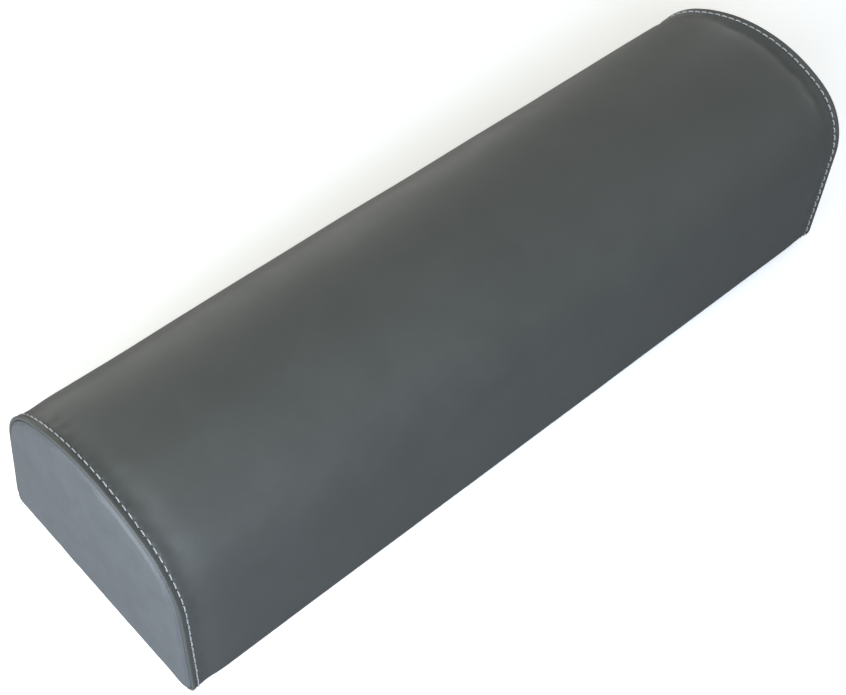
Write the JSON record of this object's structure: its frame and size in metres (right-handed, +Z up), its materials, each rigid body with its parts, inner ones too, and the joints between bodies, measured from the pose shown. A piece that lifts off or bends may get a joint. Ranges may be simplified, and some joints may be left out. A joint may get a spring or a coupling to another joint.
{
  "type": "bolster pillow",
  "caption": "Flat-based, domed bolster pillow for a massage table: foam and wadding in a sewn dark grey leather-look cover with D-shaped ends and a zip.",
  "frame": {"origin": "centre of the flat base, on the resting plane", "axes": "+X along the length, +Y towards the zip side, +Z up through the crown"},
  "size_m": [0.66, 0.2066, 0.15],
  "materials": {
    "leather_wrap": "smooth dark grey PU leather, satin, fine grain",
    "leather_panel": "smooth dark grey PU leather, satin, fine grain, lightly puckered at the seam",
    "thread": "light grey twisted polyester thread",
    "foam": "open-cell polyurethane foam",
    "wadding": "white polyester wadding",
    "zip_tape": "dark woven polyester tape",
    "zip_coil": "dark nylon coil",
    "zip_metal": "die-cast zip hardware, satin nickel"
  },
  "bodies": {
    "bolster": {"foam_core": "foam", "wadding_wrap": "wadding", "wadding_end_left": "wadding", "wadding_end_right": "wadding", "cover_wrap": "leather_wrap", "end_panel_left": "leather_panel", "end_panel_right": "leather_panel", "seam_thread_left": "thread", "seam_thread_right": "thread", "top_stitch_left": "thread", "top_stitch_right": "thread", "bobbin_thread_left": "thread", "bobbin_thread_right": "thread", "zip_tape_upper": "zip_tape", "zip_tape_lower": "zip_tape", "zip_coil_upper": "zip_coil", "zip_coil_lower": "zip_coil", "zip_top_stops": "zip_metal", "zip_bottom_stop": "zip_metal", "zip_stitch_upper": "thread", "zip_stitch_lower": "thread", "zip_bar_tacks": "thread"},
    "slider": {"zip_slider": "zip_metal"},
    "pull": {"zip_pull": "zip_metal"}
  },
  "joints": [
    {"name": "zip_slide", "type": "slide", "parent": "bolster", "child": "slider", "axis": [1, 0, 0], "range_m": [0, 0.549]},
    {"name": "pull_swing", "type": "hinge", "parent": "slider", "child": "pull", "pos_m": [-0.2748, 0.10218, 0.03224], "axis": [0, -0.1149, 0.9934], "range_deg": [0, 172]}
  ]
}
